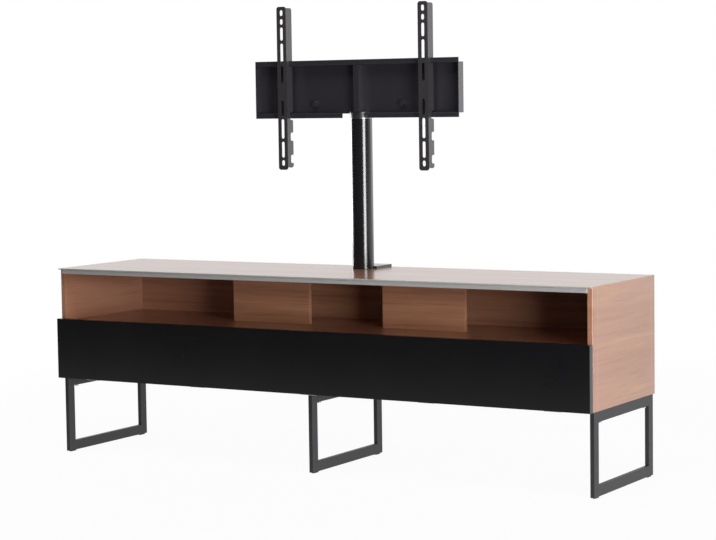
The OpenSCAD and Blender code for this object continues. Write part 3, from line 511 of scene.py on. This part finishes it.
def softenEdges(name, width, segments, lip=None, r=roundingSet):
    mesh = nodes[name].data.copy()
    if mesh.has_custom_normals:
        mesh.attributes.remove(mesh.attributes["custom_normal"])  # they belong to the unbevelled shape
    bm = bmesh.new()
    bm.from_mesh(mesh)
    bmesh.ops.remove_doubles(bm, verts=bm.verts, dist=r["weld"])
    bmesh.ops.dissolve_limit(bm, angle_limit=math.radians(r["flatAngle"]), verts=bm.verts, edges=bm.edges)
    if lip:
        roundLip(bm, lip)
    bm.to_mesh(mesh)
    bm.free()
    rounded = applied(mesh, "BEVEL", width=width, segments=segments, limit_method="ANGLE",
                      angle_limit=math.radians(r["cornerAngle"]), use_clamp_overlap=True)
    for polygon in rounded.polygons:
        polygon.use_smooth = True
    rounded.set_sharp_from_angle(angle=math.radians(r["sharpAngle"]))
    # large walls stay flat beside their radius
    done = applied(rounded, "WEIGHTED_NORMAL", mode="FACE_AREA", weight=r["wallWeight"], keep_sharp=True)
    done.name = name + "_soft"
    return standIn(name, "_soft", done)


pieces = {}
for group in edgeSet.values():
    for name in group["nodes"]:
        pieces[name] = softenEdges(name, group["width"], group["segments"], group.get("lip"))
print("edges softened:", len(pieces))


# screws: a tree makes the head and the shank in real sizes and sets them on points
smallScrew = {
    "head": 0.0025, "under": 0.0014, "headLength": 0.0011, "shank": 0.0014, "length": 0.0110,
    "recess": 0.0006, "depth": 0.0008,
}
screwSet = {
    "back_screws": {
        "head": 0.0045, "under": 0.0020, "headLength": 0.0025, "shank": 0.0020, "length": 0.0400,
        "recess": 0.0010, "depth": 0.0016, "out": (0, 1, 0),
    },
    "hinge_screws_body": dict(smallScrew, out=(0, -1, 0)),
    "hinge_screws_flap": dict(smallScrew, out=(0, 1, 0)),
    "stay_screws_flap": dict(smallScrew, out=(0, 1, 0)),
    "latch_screws": {
        "head": 0.0028, "under": 0.0028, "headLength": 0.0016, "shank": 0.0015, "length": 0.0126,
        "recess": 0.0007, "depth": 0.0010, "out": (0, 0, -1),
    },
}
thumbSet = {
    "head": 0.0054, "headLength": 0.0080, "shank": 0.0025, "length": 0.0360,
    "ridges": 26, "ridge": 0.0006, "out": (0, 0, -1),
}
roundSides = {"shank": 20, "head": 32, "thumb": 52}
crossReach = 1.15  # length of the recess's arms, in head radii
ridgeReach = 0.86  # height of the knurl's ridges, in head lengths
headSharp = 30  # degrees from which an edge of a screw stays sharp

# the trees' inputs and the values that they take
screwInputs = {
    "Head radius": "head", "Under radius": "under", "Head length": "headLength", "Shank radius": "shank",
    "Length": "length", "Recess width": "recess", "Recess depth": "depth",
}
thumbInputs = {
    "Head radius": "head", "Head length": "headLength", "Shank radius": "shank", "Length": "length",
    "Ridges": "ridges", "Ridge size": "ridge",
}


def newTree(name, labels):
    tree = bpy.data.node_groups.new(name, "GeometryNodeTree")
    inputs = [("Points", "Geometry")]
    inputs += [(label, "Int" if label == "Ridges" else "Float") for label in labels]
    inputs += [("Turn", "Vector"), ("Finish", "Material")]
    for label, kind in inputs:
        tree.interface.new_socket(label, in_out="INPUT", socket_type="NodeSocket" + kind)
    tree.interface.new_socket("Geometry", in_out="OUTPUT", socket_type="NodeSocketGeometry")
    given = tree.nodes.new("NodeGroupInput").outputs
    result = tree.nodes.new("NodeGroupOutput").inputs[0]
    return tree, given, result


def geoNode(tree, kind, links, **settings):
    # a node with its sockets linked or set
    node = tree.nodes.new(kind)
    for key, value in settings.items():
        setattr(node, key, value)
    for socket, value in links.items():
        if isinstance(value, bpy.types.NodeSocket):
            tree.links.new(value, node.inputs[socket])
        else:
            node.inputs[socket].default_value = value
    return node.outputs


def calc(tree, how, a, b):
    return geoNode(tree, "ShaderNodeMath", {0: a, 1: b}, operation=how)[0]


def xyz(tree, x, y, z):
    return geoNode(tree, "ShaderNodeCombineXYZ", {0: x, 1: y, 2: z})[0]


def rod(tree, sides, radius, depth):
    sizes = {"Vertices": sides, "Radius": radius, "Depth": depth}
    return geoNode(tree, "GeometryNodeMeshCylinder", sizes)["Mesh"]


def raised(tree, mesh, z):
    lift = xyz(tree, 0.0, 0.0, z)
    return geoNode(tree, "GeometryNodeTransform", {"Geometry": mesh, "Translation": lift})[0]


def block(tree, x, y, z):
    return geoNode(tree, "GeometryNodeMeshCube", {"Size": xyz(tree, x, y, z)})["Mesh"]


def setOnPoints(tree, given, result, parts):
    joined = tree.nodes.new("GeometryNodeJoinGeometry")
    for part in parts:
        tree.links.new(part, joined.inputs[0])
    turn = geoNode(tree, "FunctionNodeEulerToRotation", {0: given["Turn"]})[0]
    many = geoNode(tree, "GeometryNodeInstanceOnPoints",
                   {"Points": given["Points"], "Instance": joined.outputs[0], "Rotation": turn})[0]
    real = geoNode(tree, "GeometryNodeRealizeInstances", {"Geometry": many})[0]
    done = geoNode(tree, "GeometryNodeSetMaterial", {"Geometry": real, "Material": given["Finish"]})[0]
    tree.links.new(done, result)


def shankOf(tree, given):
    # from the underside of the head to the tip, with the top of the head at zero
    long = calc(tree, "SUBTRACT", given["Length"], given["Head length"])
    shank = rod(tree, roundSides["shank"], given["Shank radius"], long)
    both = calc(tree, "ADD", given["Length"], given["Head length"])
    return raised(tree, shank, calc(tree, "MULTIPLY", both, -0.5))


def makeScrewTree():
    tree, given, result = newTree("crossScrews", screwInputs)
    cone = geoNode(tree, "GeometryNodeMeshCone", {
        "Vertices": roundSides["head"], "Radius Top": given["Head radius"],
        "Radius Bottom": given["Under radius"], "Depth": given["Head length"]})["Mesh"]
    head = raised(tree, cone, calc(tree, "MULTIPLY", given["Head length"], -1.0))
    arm = calc(tree, "MULTIPLY", given["Head radius"], crossReach)
    deep = calc(tree, "MULTIPLY", given["Recess depth"], 2.0)  # half of each bar is in the head
    bars = [block(tree, arm, given["Recess width"], deep), block(tree, given["Recess width"], arm, deep)]
    cut = tree.nodes.new("GeometryNodeMeshBoolean")
    cut.operation = "DIFFERENCE"
    cut.solver = "EXACT"
    tree.links.new(head, cut.inputs["Mesh 1"])
    for bar in bars:
        tree.links.new(bar, cut.inputs["Mesh 2"])
    setOnPoints(tree, given, result, [cut.outputs["Mesh"], shankOf(tree, given)])
    return tree


def makeThumbTree():
    tree, given, result = newTree("thumbScrews", thumbInputs)
    half = calc(tree, "MULTIPLY", given["Head length"], -0.5)
    core = rod(tree, roundSides["thumb"], given["Head radius"], given["Head length"])
    ring = geoNode(tree, "GeometryNodeMeshCircle",
                   {"Vertices": given["Ridges"], "Radius": given["Head radius"]})["Mesh"]
    place = geoNode(tree, "GeometryNodeInputPosition", {})[0]
    around = geoNode(tree, "FunctionNodeAlignRotationToVector", {"Vector": place}, axis="X")[0]
    tall = calc(tree, "MULTIPLY", given["Head length"], ridgeReach)
    wide = calc(tree, "MULTIPLY", given["Ridge size"], 2.0)  # half of each ridge is in the head
    ridge = block(tree, wide, given["Ridge size"], tall)
    knurl = geoNode(tree, "GeometryNodeInstanceOnPoints",
                    {"Points": ring, "Instance": ridge, "Rotation": around})[0]
    head = [raised(tree, core, half), raised(tree, knurl, half)]
    setOnPoints(tree, given, result, head + [shankOf(tree, given)])
    return tree


def looseParts(bm):
    # the corners of each separate solid
    seen, parts = set(), []
    for start in bm.verts:
        if start in seen:
            continue
        seen.add(start)
        stack, part = [start], []
        while stack:
            vert = stack.pop()
            part.append(vert.co.copy())
            for edge in vert.link_edges:
                other = edge.other_vert(vert)
                if other not in seen:
                    seen.add(other)
                    stack.append(other)
        parts.append(part)
    return parts


def headCentre(part, out):
    # the middle of the face that looks outwards
    place = []
    for axis in range(3):
        low = min(co[axis] for co in part)
        high = max(co[axis] for co in part)
        place.append(high if out[axis] > 0 else low if out[axis] < 0 else (low + high) / 2)
    return place


def madeByTree(name, tree, labels, s):
    bm = bmesh.new()
    bm.from_mesh(nodes[name].data)
    bmesh.ops.remove_doubles(bm, verts=bm.verts, dist=roundingSet["weld"])
    points = bpy.data.meshes.new(name + "_points")
    points.from_pydata([headCentre(part, s["out"]) for part in looseParts(bm)], [], [])
    bm.free()
    holder = bpy.data.objects.new(name + "_points", points)
    scene.collection.objects.link(holder)
    modifier = holder.modifiers.new("screws", "NODES")
    modifier.node_group = tree
    values = {label: s[key] for label, key in labels.items()}
    values["Turn"] = tuple(Vector(s["out"]).to_track_quat("Z", "Y").to_euler())
    values["Finish"] = finishFor(name)
    for item in tree.interface.items_tree:
        if item.in_out == "INPUT" and item.name in values:
            modifier[item.identifier] = values[item.name]
    done = finishedMesh(holder)
    done.set_sharp_from_angle(angle=math.radians(headSharp))
    return standIn(name, "_made", done)


made = {}
screwTree = makeScrewTree()
for name, s in screwSet.items():
    made[name] = madeByTree(name, screwTree, screwInputs, s)
thumbTree = makeThumbTree()
for name in ("clamp_screw_left", "clamp_screw_right"):
    made[name] = madeByTree(name, thumbTree, thumbInputs, thumbSet)
print("screws made:", {name: len(piece.data.polygons) for name, piece in made.items()})


# studio: a pale floor that looks white, and in what shines,
# a white wall behind the cabinet, a softer ceiling and a dim room in front of it
studioSet = {
    "floorSize": 40.0, "paper": (0.86, 0.86, 0.86), "paperLighter": 1.01, "paperRoughness": 0.6,
    "cloud": {"scale": 3.0, "detail": 2}, "farPaper": (0.03, 0.03, 0.03),
    "nearReach": 1.5, "farReach": 3.0, "shade": 0.955,
    "worldLevel": 0.05, "dimLevel": 0.03, "dimFrom": -1.75, "dimTo": -0.2,
    "wall": {"facing": (0.10, 0.99, 0.0), "low": 0.30, "high": 0.62, "level": 1.0},
    "ceiling": {"facing": (0.0, 0.2, 0.98), "low": 0.4, "high": 0.9, "level": 0.6},
}
lampSet = {
    "lowBoxRight": {"place": (3.6, -2.3, 0.72), "aim": (0.0, 0.2, 0.66), "size": (1.7, 1.3), "power": 112},
    "backRight": {"place": (2.3, 4.2, 1.3), "aim": (0.0, 0.2, 0.8), "size": (2.2, 1.8), "power": 12},
    "backLeft": {"place": (-3.9, 1.8, 1.1), "aim": (0.0, 0.1, 0.6), "size": (1.7, 1.5), "power": 52},
    "highFront": {"place": (0.9, -1.4, 3.8), "aim": (0.1, 0.2, 0.5), "size": (3.0, 1.4), "power": 54},
}


def mixShaders(tree, factor, first, second):
    node = addNode(tree, "MixShader")
    for value, socket in zip((factor, first, second), node.inputs):
        tree.links.new(value, socket)
    return node.outputs[0]


def floorPaper(s):
    mat, tree, shader = newMaterial("floorPaper")
    shader.inputs["Roughness"].default_value = s["paperRoughness"]
    cloud = noise(tree, mapped(tree), **s["cloud"])
    parts = addNode(tree, "SeparateXYZ")
    away = addNode(tree, "VectorMath", operation="LENGTH")
    coords = objectCoords(tree)
    for socket in (parts.inputs[0], away.inputs[0]):
        tree.links.new(coords, socket)
    far = rescale(tree, away.outputs["Value"], 0.0, 1.0, s["nearReach"], s["farReach"])
    paper = mixColour(tree, cloud, s["paper"], shaded(s["paper"], s["paperLighter"]))
    tree.links.new(mixColour(tree, far, paper, s["farPaper"]), shader.inputs["Base Color"])
    path = addNode(tree, "LightPath")
    # seen white, with the shadow only near the cabinet
    fade = rescale(tree, away.outputs["Value"], s["shade"], 1.0, s["nearReach"], s["farReach"])
    seen = math2(tree, "MULTIPLY", path.outputs["Is Camera Ray"], fade)
    share = math2(tree, "MAXIMUM", seen, path.outputs["Is Glossy Ray"])
    mirrored = rescale(tree, parts.outputs[1], s["dimLevel"], 1.0, s["dimFrom"], s["dimTo"])
    level = addNode(tree, "Mix", data_type="FLOAT")
    tree.links.new(path.outputs["Is Glossy Ray"], level.inputs[0])
    level.inputs[2].default_value = 1.0
    tree.links.new(mirrored, level.inputs[3])
    glow = addNode(tree, "Emission")
    tree.links.new(level.outputs[0], glow.inputs["Strength"])
    out = next(node for node in tree.nodes if node.type == "OUTPUT_MATERIAL")
    tree.links.new(mixShaders(tree, share, shader.outputs[0], glow.outputs[0]), out.inputs[0])
    return mat


def makeFloor(s):
    mesh = bpy.data.meshes.new("floor")
    h = s["floorSize"] / 2
    mesh.from_pydata([(-h, -h, 0), (h, -h, 0), (h, h, 0), (-h, h, 0)], [], [(0, 1, 2, 3)])
    mesh.materials.append(floorPaper(s))
    floor = bpy.data.objects.new("floor", mesh)
    scene.collection.objects.link(floor)


def makeWorld(s):
    world = bpy.data.worlds.new("studio")
    scene.world = world
    world.use_nodes = True
    tree = world.node_tree
    tree.nodes.clear()
    ambient, white, room = (addNode(tree, "Background") for _ in range(3))
    for light, level in ((ambient, s["worldLevel"]), (white, 1.0), (room, s["dimLevel"])):
        light.inputs[0].default_value = (1, 1, 1, 1)
        light.inputs[1].default_value = level
    coords = addNode(tree, "TexCoord")
    levels = []
    for side in (s["wall"], s["ceiling"]):
        turned = addNode(tree, "VectorMath", operation="DOT_PRODUCT")
        tree.links.new(coords.outputs["Generated"], turned.inputs[0])
        turned.inputs[1].default_value = side["facing"]
        towards = turned.outputs["Value"]
        levels.append(rescale(tree, towards, s["dimLevel"], side["level"], side["low"], side["high"]))
    tree.links.new(math2(tree, "MAXIMUM", *levels), room.inputs[1])
    path = addNode(tree, "LightPath")
    shiny = mixShaders(tree, path.outputs["Is Glossy Ray"], ambient.outputs[0], room.outputs[0])
    both = mixShaders(tree, path.outputs["Is Camera Ray"], shiny, white.outputs[0])
    out = addNode(tree, "OutputWorld")
    tree.links.new(both, out.inputs[0])


def softLamp(name, s):
    data = bpy.data.lights.new(name, "AREA")
    data.shape = "RECTANGLE"
    data.size, data.size_y = s["size"]
    data.energy = s["power"]
    obj = bpy.data.objects.new(name, data)
    obj.location = s["place"]
    obj.rotation_euler = (Vector(s["aim"]) - Vector(s["place"])).to_track_quat("-Z", "Y").to_euler()
    scene.collection.objects.link(obj)


makeFloor(studioSet)
makeWorld(studioSet)
for name, s in lampSet.items():
    softLamp(name, s)
print("studio lit")
